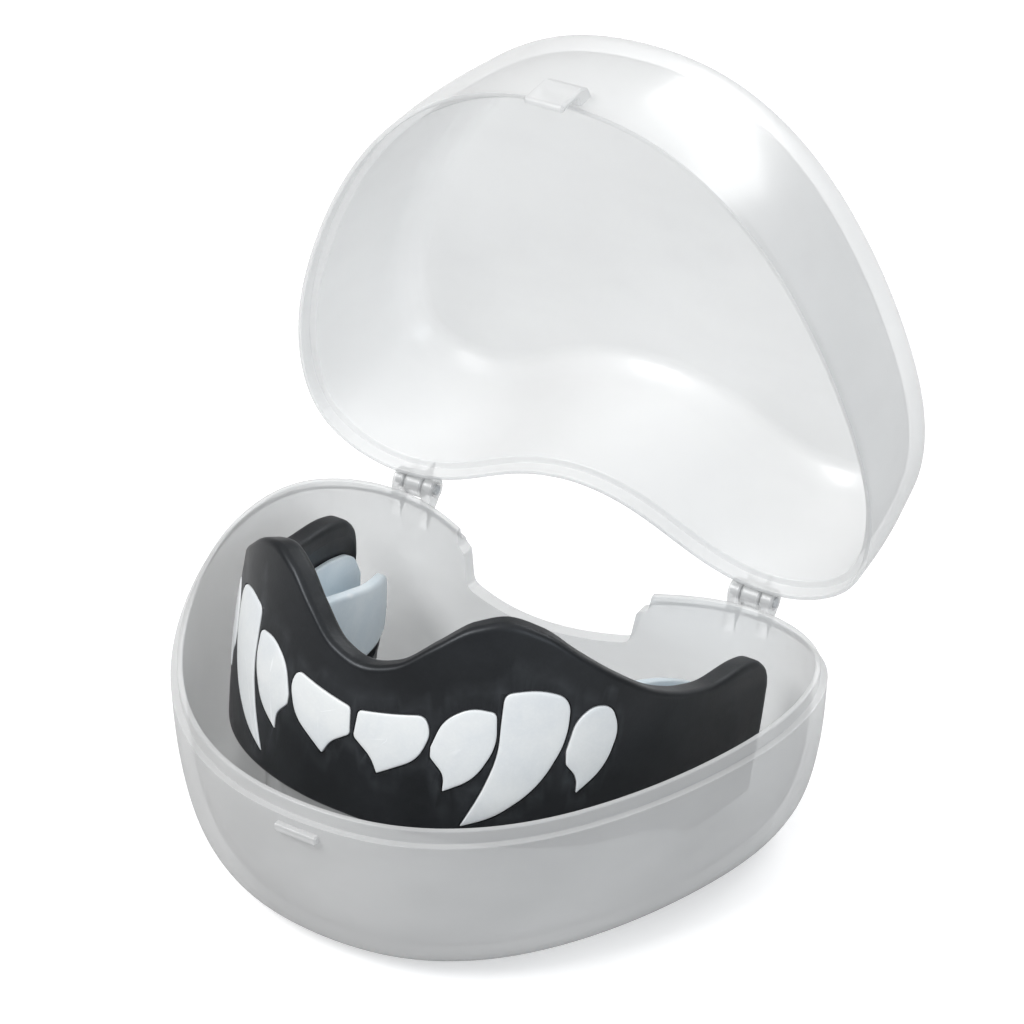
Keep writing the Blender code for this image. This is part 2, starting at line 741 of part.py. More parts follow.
def make_cores(surface):
    front = band(front_path(), FRONT_GROOVE_HALF - FIT_GAP, True)
    add_core("front", front, FRONT_GROOVE_DEEP, surface)
    for side, word in SIDES:
        loop = band(pad_core_path(side), PAD_GROOVE_HALF - FIT_GAP)
        add_core(word, loop, -PAD_DROP + PAD_GROOVE_DEEP, surface)


def make_fangs(surface):
    for name, loop in fang_loops():
        add_guard_part(name, fang_body(loop, -FANG_DEEP, FANG_PROUD), surface)


def main():
    for obj in list(bpy.data.objects):
        bpy.data.objects.remove(obj, do_unlink=True)
    clear = {"roughness": 0.28, "alpha": 0.42, "transmission": 0.3}
    make_base(material("clear_plastic_base", rgb=(0.80, 0.81, 0.81), **clear))
    make_lid(material("clear_plastic_lid", rgb=(0.84, 0.85, 0.85), **clear))
    make_hinge_pins(material("hinge_pin_plastic", rgb=(0.62, 0.63, 0.64), roughness=0.35))
    make_shell(material("black_eva", rgb=(0.030, 0.031, 0.034), roughness=0.42))
    liner_surface = material("pale_liner_eva", rgb=(0.68, 0.77, 0.83), roughness=0.38)
    add_guard_part("guard_inner_liner", swept(liner_section), liner_surface)
    make_cores(material("grey_core_eva", rgb=(0.52, 0.51, 0.51), roughness=0.5))
    make_fangs(material("fang_inlay_eva", rgb=(0.83, 0.86, 0.87), roughness=0.35))


main()
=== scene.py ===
"""Boxing mouthguard lying in its open clear case.

The case stands on z = 0 with its front towards -y and its hinges at the back, towards +y;
left is -x. Shapes are worked out in millimetres and scaled by MM when a mesh is made.
"""

import math

import bmesh
import bpy
import numpy as np
from mathutils import Matrix, Vector


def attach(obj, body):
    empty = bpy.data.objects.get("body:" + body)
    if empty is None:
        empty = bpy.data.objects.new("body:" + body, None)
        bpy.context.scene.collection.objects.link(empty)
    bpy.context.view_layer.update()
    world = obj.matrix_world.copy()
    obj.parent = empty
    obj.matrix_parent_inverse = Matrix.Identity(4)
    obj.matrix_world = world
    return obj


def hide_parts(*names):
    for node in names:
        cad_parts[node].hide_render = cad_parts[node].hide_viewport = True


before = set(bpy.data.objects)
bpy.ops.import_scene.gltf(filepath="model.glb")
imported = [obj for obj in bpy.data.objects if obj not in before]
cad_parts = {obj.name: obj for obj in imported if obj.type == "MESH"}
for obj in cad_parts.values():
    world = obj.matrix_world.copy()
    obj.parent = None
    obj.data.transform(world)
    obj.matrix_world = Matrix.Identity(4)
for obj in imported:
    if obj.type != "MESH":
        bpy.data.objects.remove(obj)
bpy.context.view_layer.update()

MM = 0.001
SIDES = ((-1, "left"), (1, "right"))

# ---------- case, in millimetres ----------
OUTLINE_HALF = (  # x, y of the outer edge at the rim, right half from the front to the back
    (0.0, -31.7), (11.4, -30.0), (22.4, -23.6), (31.8, -12.1), (38.6, 2.4),
    (41.4, 16.3), (38.6, 26.8), (29.2, 31.6), (18.4, 30.1), (8.5, 25.6),
)
OUTLINE_BACK = (0.0, 24.0)
OUTLINE_POINTS = 240
CASE_CENTRE_Y = -2.0  # the lid's top shrinks towards this place
FLOOR_Z = 1.5
LEDGE_Z = 22.7
RIM_Z = 24.5
SKIRT_Z = 23.0
LID_CEILING_Z = 44.3
LID_TOP_Z = 45.8
LID_LIP_Z = RIM_Z + 0.3  # the step inside the lid, just above the base's rim
LID_DOME = 0.35
DOME_INSET = 7.6
DOME_SCALES = (0.02, 0.15, 0.3, 0.45, 0.6, 0.72, 0.84, 0.93)

# Profiles: inset from the outline, z. Corner lists add the corner radius.
BASE_OUTSIDE = (
    (10.0, 0.0), (9.4, 0.0), (7.3, 0.35), (5.1, 1.5), (3.2, 3.6), (1.8, 6.6), (0.85, 10.8),
    (0.3, 15.5), (0.02, LEDGE_Z - 0.25),
)
BASE_RIM = (
    (0.0, LEDGE_Z, 0.22), (0.9, LEDGE_Z, 0.12), (0.9, RIM_Z, 0.25), (1.6, RIM_Z, 0.25),
    (1.64, 24.0, 0),
)
BASE_INSIDE = (
    (1.64, 24.0), (1.75, 21.5), (2.0, 15.8), (2.5, 11.2), (3.4, 7.4), (4.7, 4.6), (6.4, 2.7),
    (8.4, 1.7), (9.8, FLOOR_Z), (10.1, FLOOR_Z),
)
LID_OUTSIDE = (
    (DOME_INSET, LID_TOP_Z), (6.4, LID_TOP_Z - 0.03), (4.6, LID_TOP_Z - 0.4),
    (3.2, LID_TOP_Z - 1.5), (2.1, LID_TOP_Z - 3.5), (1.45, 39.2), (0.75, 34.5), (0.2, 29.0),
    (0.02, SKIRT_Z + 0.25),
)
LID_SKIRT = (
    (0.0, SKIRT_Z, 0.2), (0.6, SKIRT_Z, 0.15), (0.65, LID_LIP_Z, 0.12),
    (1.65, LID_LIP_Z, 0.2), (1.7, 25.8, 0),
)
LID_INSIDE = (
    (1.7, 25.8), (1.85, 29.0), (2.35, 34.5), (3.05, 39.0), (3.8, 41.4), (4.9, 43.0),
    (6.0, LID_CEILING_Z - 0.2), (DOME_INSET, LID_CEILING_Z),
)

# Rib that carries the guard: it follows the guard's arch
RIB_THICK, RIB_MIDDLE = 1.6, -5.2
RIB_STATIONS = np.concatenate(
    [np.linspace(-60.5, -44.2, 24), np.linspace(-43.2, 43.2, 110), np.linspace(44.2, 60.5, 24)]
)
RIB_STEP_ARC = 43.5  # beyond this arc length the rib steps down under the pads
FIT_GAP, PAD_FIT_GAP = 0.35, 0.4

# Notch in the back wall
NOTCH_HALF_TOP, NOTCH_HALF_LOW, NOTCH_Z = 14.0, 12.0, 17.3
NOTCH_Y = (18.0, 32.6)

# Hinges
HINGE_X, HINGE_Y, HINGE_Z = 25.0, 33.7, 24.1
BARREL_R, BORE_R, PIN_R = 1.65, 1.0, 0.7
KNUCKLE_HALF, LUG_GAP, LUG_WIDE = 1.2, 0.3, 1.5
BORE_HALF, PIN_HALF, PIN_SINK = 4.2, 3.1, 0.2
HINGE_BEVEL = 0.15
LUG_ARC = (180, -65)  # degrees from +y towards +z
LUG_WEB = ((-2.9, -5.4), (-2.8, -1.7), (-1.9, -1.7))  # y, z from the hinge's axis
KNUCKLE_ARC = (-180, 60)
KNUCKLE_WEB = ((-2.75, 3.4), (-3.3, 3.2), (-2.6, 0.8), (-2.0, 0.5))
LID_OPEN_DEG = 85.0

# Latch at the front: y, z, corner radius
CATCH_HALF, CATCH_BEVEL = 2.9, 0.2
CATCH = ((-30.90, 20.4, 0), (-32.35, 20.5, 0.35), (-32.35, 21.6, 0.35), (-30.90, 21.7, 0))
TAB_HALF, TAB_BEVEL = 2.6, 0.25
TAB = (
    (-31.20, 23.6, 0), (-32.80, 23.2, 0.4), (-32.80, 20.4, 0.1), (-32.65, 20.2, 0.1),
    (-32.65, 19.8, 0.15), (-32.90, 19.4, 0.2), (-33.50, 19.4, 0.25), (-33.70, 19.8, 0.3),
    (-33.70, 24.1, 0.8), (-32.90, 25.7, 0.8), (-31.10, 26.5, 0),
)

# ---------- mouthguard, in millimetres ----------
# It is drawn level, with z = 0 at the underside of the front bite platform. A place on it is
# its arc length from the midline, its distance out of the front wall's face and its z.
GUARD_Z = 17.2
GUARD_PITCH_DEG = 13.0  # the guard leans back, its rear pads low in the case
GUARD_FRONT_Y = -22.5
ARC_END = 64.0
TABLE_END, TABLE_POINTS = 72, 1441
SHELL_STATIONS, LINER_STATIONS = 221, 181
HEADING = (  # arc length, heading of the outer wall in degrees
    (0.0, 0.0), (5.0, 8.0), (12.0, 20.5), (19.0, 34.0), (26.0, 48.5), (33.0, 62.5),
    (40.0, 74.5), (48.0, 83.5), (57.0, 88.0), (64.0, 89.5), (72.0, 90.5),
)
WALL_HEIGHT = (  # arc length, height
    (0.0, 19.6), (4.0, 20.6), (8.8, 24.1), (13.2, 27.1), (17.5, 28.2), (22.0, 27.2),
    (27.0, 24.5), (33.0, 21.3), (39.0, 18.6), (45.0, 17.1), (50.0, 16.5), (56.0, 16.7),
    (60.0, 16.3), (62.6, 14.8), (64.0, 12.2),
)
PLATFORM_WIDE = (  # arc length, width
    (0.0, 10.2), (12.0, 10.0), (24.0, 9.6), (33.0, 9.9), (40.0, 11.0), (46.0, 12.5),
    (50.5, 12.8), (54.5, 12.3), (58.5, 11.1), (61.8, 9.6), (64.0, 8.0),
)
PALATE_HEIGHT = (  # arc length, height
    (0.0, 10.2), (14.0, 10.8), (28.0, 12.6), (42.0, 13.2), (54.0, 12.0), (60.0, 10.6),
    (64.0, 8.0),
)
WALL_BEND, WIDEST_Z = 0.0036, 9.0
RIM_THICK, WEB_THICK, PLATFORM_THICK = 3.1, 2.6, 2.8
LINER_THICK, PALATE_THICK, LINER_GAP = 1.2, 2.3, 0.03

# Rear bite pads, drawn on their own scale (see pad_at)
PAD_DROP, PAD_BEVEL, PAD_SIDE_OUT = 3.0, 0.38, 0.08
PAD_FRONT = (  # arc length, distance out
    (44.0, -0.1), (42.3, -1.6), (40.8, -4.4), (40.05, -7.5), (40.25, -10.4), (41.5, -12.9),
    (43.7, -14.6), (46.8, -15.1), (50.5, -14.7), (54.0, -13.7), (57.5, -12.3),
    (60.5, -10.8), (62.9, -9.2),
)
PAD_REAR = ((64.2, -8.0, 0.7), (64.25, -0.1, 0.9), (60.0, -0.1, 0))  # with corner radius
PAD_MIDDLE = (  # arc length, distance out of the groove's middle line
    (38.0, -8.3), (44.0, -8.2), (50.0, -7.7), (56.0, -6.7), (62.0, -5.5), (68.0, -4.4),
)

# Grooves in the undersides and the cores that lie in them
FRONT_GROOVE_HALF, GROOVE_HALF = 0.95, 0.88
FRONT_GROOVE_DEEP, PAD_GROOVE_DEEP = 1.7, 1.8
CORE_RECESS, CORE_GAP = 0.95, 0.02
CORE_ENDS = (45.95, 63.85)  # arc lengths where a pad's core starts and ends
OUTER_BAR, INNER_BAR = -3.9, -6.7
FRONT_PATH_HALF = (  # arc length, distance out, right of the midline
    (3.5, OUTER_BAR), (3.5, INNER_BAR), (10.3, INNER_BAR), (10.3, OUTER_BAR), (17.5, OUTER_BAR),
)
PAD_STROKES = (44.2, 49.2, 54.2, 59.2)  # arc lengths where a pad's groove crosses over
PAD_SWING = 2.1

FANG_GAP, FANG_RAISE = 0.14, 0.10
# Arc length from and to, z from and to, corners in that box: across, up, corner radius in mm.
# A radius of 99 rounds as far as the edges allow.
FANGS = {
    "central": ((0.45, 9.6), (6.9, 15.4), (
        (0.01, 0.83, 0.7), (0.50, 0.93, 99), (0.93, 1.03, 1.7), (1.03, 0.78, 99),
        (0.90, 0.36, 99), (0.37, 0.0, 0.1), (0.26, 0.22, 99), (-0.02, 0.43, 0.8),
    )),
    "lateral": ((10.1, 17.4), (6.6, 17.3), (
        (-0.01, 0.50, 0.8), (0.14, 0.84, 99), (0.55, 1.03, 99), (0.98, 1.01, 0.9),
        (1.04, 0.62, 99), (0.74, 0.20, 99), (0.26, 0.0, 0.1), (0.26, 0.20, 99),
        (0.0, 0.38, 0.8),
    )),
    "canine": ((14.5, 25.7), (2.4, 20.0), (
        (0.0, 0.0, 0.08), (0.19, 0.28, 99), (0.31, 0.56, 99), (0.30, 0.80, 99),
        (0.305, 0.99, 1.3), (0.66, 1.035, 99), (1.02, 0.98, 99), (1.02, 0.68, 99),
        (0.76, 0.33, 99), (0.34, 0.095, 99),
    )),
    "outer": ((25.95, 32.3), (7.4, 18.0), (
        (0.0, 0.52, 1.2), (0.13, 0.88, 99), (0.46, 1.05, 99), (0.86, 1.02, 99),
        (1.05, 0.74, 99), (0.84, 0.30, 99), (0.30, 0.0, 0.1), (0.28, 0.20, 99),
        (0.03, 0.36, 1.0),
    )),
}
FANG_RINGS = (  # scale about the middle, distance out of the wall; back first, then the face
    (0.02, -0.55), (0.5, -0.55), (1.0, -0.55), (1.0, -0.05), (0.992, 0.02), (0.975, 0.065),
    (0.94, FANG_RAISE), (0.85, FANG_RAISE + 0.02), (0.7, FANG_RAISE + 0.03),
    (0.5, FANG_RAISE + 0.035), (0.3, FANG_RAISE + 0.04), (0.12, FANG_RAISE + 0.04),
)
CANINE_SHIFT = (0.15, 0.3)  # moves the canine's middle away from the midline and up


# ---------- curves ----------
def smooth(table, x):
    """Monotone cubic through the table's points."""
    xs, ys = np.array(table, float).T
    widths = np.diff(xs)
    rises = np.diff(ys) / widths
    before, after = rises[:-1], rises[1:]
    total = before + after
    slopes = np.zeros(len(xs))
    slopes[1:-1] = np.where(
        before * after > 0, 2 * before * after / np.where(total == 0, 1, total), 0
    )
    slopes[-1] = rises[-1]
    x = np.clip(x, xs[0], xs[-1])
    i = np.clip(np.searchsorted(xs, x, side="right") - 1, 0, len(widths) - 1)
    part = (x - xs[i]) / widths[i]
    return (
        ys[i] * (1 + 2 * part) * (1 - part) ** 2
        + widths[i] * slopes[i] * part * (1 - part) ** 2
        + ys[i + 1] * part * part * (3 - 2 * part)
        + widths[i] * slopes[i + 1] * part * part * (part - 1)
    )


def size_at(table, arc):
    return float(smooth(table, abs(arc)))


def spline(points, count, closed=False):
    """A natural or periodic cubic spline through the points, at equal steps of length."""
    points = np.array(points, float)
    total = len(points)
    lengths = np.linalg.norm(np.roll(points, -1, 0) - points, axis=1)
    matrix = np.zeros((total, total)) if closed else np.eye(total)
    target = np.zeros((total, 2))
    for i in range(total) if closed else range(1, total - 1):
        j, k = (i - 1) % total, (i + 1) % total
        matrix[i, j] = lengths[j]
        matrix[i, i] = 2 * (lengths[j] + lengths[i])
        matrix[i, k] = lengths[i]
        rise = (points[k] - points[i]) / lengths[i]
        target[i] = 6 * (rise - (points[i] - points[j]) / lengths[j])
    bends = np.linalg.solve(matrix, target)
    steps = 60 if closed else 40
    dense = []
    for i in range(total if closed else total - 1):
        k = (i + 1) % total
        length = lengths[i]
        for done in np.arange(steps) / steps * length:
            left = length - done
            dense.append(
                bends[i] * left**3 / (6 * length)
                + bends[k] * done**3 / (6 * length)
                + (points[i] / length - bends[i] * length / 6) * left
                + (points[k] / length - bends[k] * length / 6) * done
            )
    dense = np.array(dense + [dense[0] if closed else points[-1]])
    run = np.concatenate([[0], np.cumsum(np.linalg.norm(np.diff(dense, axis=0), axis=1))])
    if closed:
        places = np.arange(count) / count * run[-1]
    else:
        places = np.linspace(0, run[-1], count)
    return np.stack([np.interp(places, run, column) for column in dense.T], axis=1)


def fillet(corners, steps=5, closed=True):
    """Rounds a polygon of (x, y, radius) corners; a radius of 0 keeps the corner."""
    corners = np.array(corners, float)
    points = corners[:, :2]
    last = len(points) - 1
    out = []
    for i, (corner, radius) in enumerate(zip(points, corners[:, 2])):
        if radius <= 0 or (not closed and i in (0, last)):
            out.append(corner)
            continue
        back, ahead = points[i - 1] - corner, points[(i + 1) % len(points)] - corner
        back_length = max(1e-9, np.linalg.norm(back))
        ahead_length = max(1e-9, np.linalg.norm(ahead))
        back, ahead = back / back_length, ahead / ahead_length
        half_angle = math.acos(float(np.clip(back @ ahead, -1, 1))) / 2
        reach = radius / max(math.tan(half_angle), 1e-3)
        cut = min(reach, 0.48 * back_length, 0.48 * ahead_length)
        for t in np.linspace(0, 1, steps):
            out.append(
                (1 - t) ** 2 * (corner + back * cut)
                + 2 * t * (1 - t) * corner
                + t * t * (corner + ahead * cut)
            )
    return np.array(out)


def crosses(loop):
    """The cross product of each point with the next; their sum is twice the loop's area."""
    x, y = loop.T
    return x * np.roll(y, -1) - y * np.roll(x, -1)


def grown(loop, distance):
    """A polygon moved out by the distance along mitred corners."""
    loop = np.array(loop, float)
    edges = np.roll(loop, -1, 0) - loop
    edges /= np.linalg.norm(edges, axis=1)[:, None]
    normals = np.stack([edges[:, 1], -edges[:, 0]], axis=1) * np.sign(np.sum(crosses(loop)))
    mitres = normals + np.roll(normals, 1, 0)
    mitres /= np.maximum(1e-9, np.linalg.norm(mitres, axis=1))[:, None]
    reach = distance / np.maximum(0.5, np.sum(mitres * normals, axis=1))
    return loop + mitres * reach[:, None]


def band(path, half, round_ends=False):
    """The outline of a strip of even width along a zigzag path, with mitred corners."""
    path = np.array(path, float)
    along = np.diff(path, axis=0)
    along /= np.linalg.norm(along, axis=1)[:, None]
    across = np.stack([-along[:, 1], along[:, 0]], axis=1)
    offsets = [across[0] * half]
    for before, after in zip(across, across[1:]):
        mitre = before + after
        mitre /= np.linalg.norm(mitre)
        offsets.append(mitre * (half / max(0.42, float(mitre @ after))))
    offsets = np.array(offsets + [across[-1] * half])
    left, right = list(path + offsets), list(path - offsets)[::-1]
    if round_ends:
        start_tip = path[0] - along[0] * half * 0.75
        end_tip = path[-1] + along[-1] * half * 0.75
        return [start_tip] + left + [end_tip] + right
    return left + right


def eased(loop, land_cut, outer_cut):
    """Cuts a groove's corners: more at the tips of the lands between its bars than outside."""
    points = np.array(loop, float)
    way_round = np.sign(np.sum(crosses(points)))
    out = []
    for i, corner in enumerate(points):
        back, ahead = points[i - 1] - corner, points[(i + 1) % len(points)] - corner
        turn = (back[0] * ahead[1] - back[1] * ahead[0]) * way_round
        back_length, ahead_length = np.linalg.norm(back), np.linalg.norm(ahead)
        cut = min(land_cut if turn > 0 else outer_cut, 0.4 * back_length, 0.4 * ahead_length)
        if abs(turn) < 0.3 * back_length * ahead_length or cut < 0.05:
            out.append(corner)
        else:
            out.append(corner + back / back_length * cut)
            out.append(corner + ahead / ahead_length * cut)
    return out


def refined(loop, longest):
    """The same outline with long edges split, so that it bends with the arch."""
    loop = np.array(loop, float)
    out = []
    for start, end in zip(loop, np.roll(loop, -1, 0)):
        parts = max(1, int(math.ceil(np.linalg.norm(end - start) / longest)))
        out += [start + (end - start) * i / parts for i in range(parts)]
    return np.array(out)


# ---------- meshes ----------
def shade(mesh, sharp_deg):
    mesh.polygons.foreach_set("use_smooth", [True] * len(mesh.polygons))
    mesh.set_sharp_from_angle(angle=math.radians(sharp_deg))


def new_object(name, points, faces, surface=None, sharp_deg=38):
    mesh = bpy.data.meshes.new(name)
    mesh.from_pydata([tuple(point) for point in np.asarray(points, float) * MM], [], faces)
    bm = bmesh.new()
    bm.from_mesh(mesh)
    bmesh.ops.recalc_face_normals(bm, faces=bm.faces)
    bm.to_mesh(mesh)
    bm.free()
    shade(mesh, sharp_deg)
    obj = bpy.data.objects.new(name, mesh)
    bpy.context.scene.collection.objects.link(obj)
    if surface is not None:
        mesh.materials.append(surface)
    return obj


def loft(rings):
    """A closed skin over rings with equal numbers of points."""
    count = len(rings[0])
    last = (len(rings) - 1) * count
    faces = [tuple(range(count))[::-1]]
    for low in range(0, last, count):
        high = low + count
        for i in range(count):
            j = (i + 1) % count
            faces.append((low + i, low + j, high + j, high + i))
    faces.append(tuple(range(last, last + count)))
    return np.concatenate(rings), faces


def join(bodies):
    points, faces, start = [], [], 0
    for body_points, body_faces in bodies:
        points.append(body_points)
        faces += [tuple(i + start for i in face) for face in body_faces]
        start += len(body_points)
    return np.concatenate(points), faces


def apply_all(obj):
    depsgraph = bpy.context.evaluated_depsgraph_get()
    mesh = bpy.data.meshes.new_from_object(obj.evaluated_get(depsgraph), depsgraph=depsgraph)
    obj.modifiers.clear()
    old = obj.data
    obj.data = mesh
    mesh.name = obj.name
    bpy.data.meshes.remove(old)


def combine(obj, added, removed):
    """Joins one list of bodies to the object and cuts another out of it."""
    operands = [
        ("UNION", new_object("added", *join(added))),
        ("DIFFERENCE", new_object("removed", *join(removed))),
    ]
    for operation, other in operands:
        boolean = obj.modifiers.new(operation, "BOOLEAN")
        boolean.operation, boolean.solver, boolean.object = operation, "EXACT", other
        boolean.use_self = operation == "DIFFERENCE"
    bpy.context.view_layer.update()
    apply_all(obj)
    for _, other in operands:
        bpy.data.objects.remove(other)


def finish_edges(obj):
    shade(obj.data, sharp_deg=30)
    obj.modifiers.new("triangles", "TRIANGULATE")
    normals = obj.modifiers.new("normals", "WEIGHTED_NORMAL")
    normals.keep_sharp, normals.weight = True, 50
    apply_all(obj)


def turn_back(obj, degrees, y, z, lift=0.0):
    """Turns the mesh towards the back about a line along x, then lifts it."""
    pivot = Vector((0, y * MM, z * MM))
    obj.data.transform(
        Matrix.Translation(pivot + Vector((0, 0, lift * MM)))
        @ Matrix.Rotation(-math.radians(degrees), 4, "X")
        @ Matrix.Translation(-pivot)
    )


# ---------- node trees ----------
class Nodes:
    """A short way to write the node tree of a material or world."""

    def __init__(self, owner):
        owner.use_nodes = True
        self.owner = owner
        self.tree = owner.node_tree
        self.tree.nodes.clear()

    def add(self, kind, settings=None, **inputs):
        """Inputs are named with _ for a space, or i and their number."""
        node = self.tree.nodes.new(kind)
        for key, value in (settings or {}).items():
            setattr(node, key, value)
        for key, value in inputs.items():
            by_number = key.startswith("i") and key[1:].isdigit()
            socket = node.inputs[int(key[1:]) if by_number else key.replace("_", " ")]
            if hasattr(value, "outputs"):
                value = value.outputs[0]
            if isinstance(value, bpy.types.NodeSocket):
                self.tree.links.new(value, socket)
            else:
                socket.default_value = value
        return node

    def ramp(self, value, stops, ease=False):
        node = self.add("ShaderNodeValToRGB", i0=value)
        node.color_ramp.interpolation = "EASE" if ease else "LINEAR"
        for element, (position, colour) in zip(node.color_ramp.elements, stops):
            element.position = position
            element.color = (*colour, 1)
        return node

    def noise(self, vector, scale, detail=3.0, rough=0.55, distortion=0.0):
        return self.add(
            "ShaderNodeTexNoise",
            Vector=vector, Scale=scale, Detail=detail, Roughness=rough, Distortion=distortion,
        )

    def span(self, value, to, within=(0.0, 1.0)):
        """Maps the range within onto the range to, clamped."""
        return self.add(
            "ShaderNodeMapRange", {"clamp": True}, Value=value,
            From_Min=within[0], From_Max=within[1], To_Min=to[0], To_Max=to[1],
        )

    def math(self, operation, first, second):
        return self.add("ShaderNodeMath", {"operation": operation}, i0=first, i1=second)

    def mix_colour(self, factor, first, second, blend="MIX"):
        settings = {"data_type": "RGBA", "blend_type": blend}
        return self.add("ShaderNodeMix", settings, i0=factor, i6=first, i7=second).outputs[2]

    def bump(self, strength, distance, height, **normal):
        return self.add(
            "ShaderNodeBump", Strength=strength, Distance=distance, Height=height, **normal
        )

    def object_coords(self, scale=(1, 1, 1)):
        """Object coordinates, which stay with the piece when it moves."""
        coords = self.add("ShaderNodeTexCoord").outputs["Object"]
        return self.add("ShaderNodeMapping", Vector=coords, Scale=scale)

    def finish(self, shader):
        self.add("ShaderNodeOutputMaterial", Surface=shader)
        return self.owner


# ---------- materials ----------
def eva(name, dark, light, rough, grain, edge=None, sheen=0.0, tint=(1, 1, 1), specular=0.5):
    """Moulded EVA foam: cloudy colour, matte grain, uneven gloss, and edges painted lighter as a
    painted highlight, which on the fang inlays also draws their light printed outline.
    """
    nodes = Nodes(bpy.data.materials.new(name))
    coords = nodes.object_coords()
    cloud = nodes.noise(coords, scale=130.0, detail=4.0, rough=0.6, distortion=0.4)
    speck = nodes.noise(coords, scale=2600.0, detail=2.0, rough=0.6)
    grit = nodes.add("ShaderNodeTexVoronoi", Vector=coords, Scale=4200.0)
    colour = nodes.mix_colour(
        nodes.span(speck, to=(0.0, 0.35)),
        nodes.ramp(cloud, ((0.28, dark), (0.72, light)), ease=True),
        nodes.ramp(speck, ((0.35, (0.35,) * 3), (0.65, (0.66,) * 3))),
        blend="SOFT_LIGHT",
    )
    if edge is not None:
        # Convex edges turn lighter: a painted highlight along the rims; on the fang inlays it also
        # draws their light printed outline.
        pointiness = nodes.add("ShaderNodeNewGeometry").outputs["Pointiness"]
        lightened_edges = nodes.math(
            "MULTIPLY",
            nodes.span(pointiness, to=(0.0, 1.0), within=(0.53, 0.62)),
            nodes.span(nodes.noise(coords, scale=420.0), to=(0.3, 1.0), within=(0.35, 0.65)),
        )
        colour = nodes.mix_colour(lightened_edges, colour, (*edge, 1))
    smudge = nodes.noise(coords, scale=55.0, detail=5.0, rough=0.62, distortion=0.8)
    roughness = nodes.span(smudge, to=rough, within=(0.32, 0.68))
    speck_share, grit_share = 0.65, 0.45  # of the fine bump's height
    height = nodes.math(
        "ADD",
        nodes.math("MULTIPLY", speck, speck_share),
        nodes.math("MULTIPLY", grit.outputs["Distance"], grit_share),
    )
    wave = nodes.noise(coords, scale=190.0, detail=2.0)
    fine = nodes.bump(strength=0.16 * grain, distance=0.00006, height=height)
    broad = nodes.bump(strength=0.10, distance=0.0003, height=wave, Normal=fine)
    return nodes.finish(nodes.add(
        "ShaderNodeBsdfPrincipled",
        Base_Color=colour, Roughness=roughness, Normal=broad,
        Specular_IOR_Level=specular, Specular_Tint=(*tint, 1),
        Sheen_Weight=sheen, Sheen_Roughness=0.4,
    ))


def clear_plastic(name, body, shade_colour, face_milk, edge_milk):
    """Frosted plastic: see-through face on, milky edge on, with faint flow and scuffs."""
    nodes = Nodes(bpy.data.materials.new(name))
    coords = nodes.object_coords()
    flow_coords = nodes.object_coords(scale=(1.0, 1.0, 2.2))
    flow = nodes.noise(flow_coords, scale=30.0, detail=3.0, rough=0.5, distortion=0.3)
    haze = nodes.noise(coords, scale=16.0, detail=3.0, rough=0.5)
    frost = nodes.noise(coords, scale=1500.0, detail=2.0, rough=0.5)
    scuff_coords = nodes.object_coords(scale=(1.0, 9.0, 1.0))
    scuff = nodes.noise(scuff_coords, scale=620.0, detail=2.0, rough=0.5)
    facing = nodes.add("ShaderNodeLayerWeight", Blend=0.42).outputs["Facing"]
    edge = nodes.span(facing, to=(0.0, 1.0), within=(0.10, 0.95))
    milk = nodes.math("ADD", face_milk, nodes.math("MULTIPLY", edge, edge_milk))
    solid = nodes.math("ADD", milk, nodes.span(haze, to=(-0.05, 0.05), within=(0.3, 0.7)))
    tone = nodes.ramp(flow, ((0.3, shade_colour), (0.7, body)), ease=True)
    bump = nodes.bump(strength=0.05, distance=0.0002, height=flow)
    bump = nodes.bump(strength=0.05, distance=0.00004, height=frost, Normal=bump)
    roughness = nodes.math(
        "ADD",
        nodes.span(haze, to=(0.32, 0.40), within=(0.2, 0.8)),
        nodes.span(scuff, to=(-0.02, 0.03), within=(0.3, 0.7)),
    )
    skin = nodes.add(
        "ShaderNodeBsdfPrincipled",
        Base_Color=tone, Roughness=roughness, Normal=bump,
        Specular_IOR_Level=0.65, Coat_Weight=0.6, Coat_Roughness=0.16,
    )
    clear = nodes.add("ShaderNodeBsdfTransparent", Color=(0.985, 0.99, 0.99, 1))
    least, most = 0.0, 0.96  # limits of how solid the plastic looks
    share = nodes.math("MINIMUM", nodes.math("MAXIMUM", solid, least), most)
    return nodes.finish(nodes.add("ShaderNodeMixShader", i0=share, i1=clear, i2=skin))


def pin_plastic():
    nodes = Nodes(bpy.data.materials.new("hinge_pin_plastic"))
    turning = nodes.noise(nodes.object_coords(scale=(1.0, 6.0, 6.0)), scale=520.0)
    return nodes.finish(nodes.add(
        "ShaderNodeBsdfPrincipled",
        Base_Color=nodes.ramp(turning, ((0.3, (0.56, 0.57, 0.58)), (0.7, (0.68, 0.69, 0.70)))),
        Roughness=nodes.span(turning, to=(0.30, 0.42)),
        Normal=nodes.bump(strength=0.15, distance=0.00005, height=turning),
    ))


def pale_floor():
    """A glowing pale sheet that the camera sees directly as a plain grey one."""
    nodes = Nodes(bpy.data.materials.new("pale_floor"))
    clouds = nodes.noise(nodes.object_coords(), scale=9.0)
    tone = nodes.ramp(clouds, ((0.3, (0.80, 0.80, 0.805)), (0.7, (0.84, 0.84, 0.84))))
    sheet = nodes.add("ShaderNodeBsdfDiffuse", Color=tone)
    glow = nodes.add("ShaderNodeEmission", Color=(1, 1, 1, 1), Strength=0.35)
    both = nodes.add("ShaderNodeAddShader", i0=sheet, i1=glow)
    dim = nodes.add("ShaderNodeBsdfDiffuse", Color=(0.50, 0.50, 0.50, 1))
    seen = nodes.add("ShaderNodeLightPath").outputs["Is Camera Ray"]
    # Socket 1 is used where the camera ray's value is 0, socket 2 where it is 1
    return nodes.finish(nodes.add("ShaderNodeMixShader", i0=seen, i1=dim, i2=both))


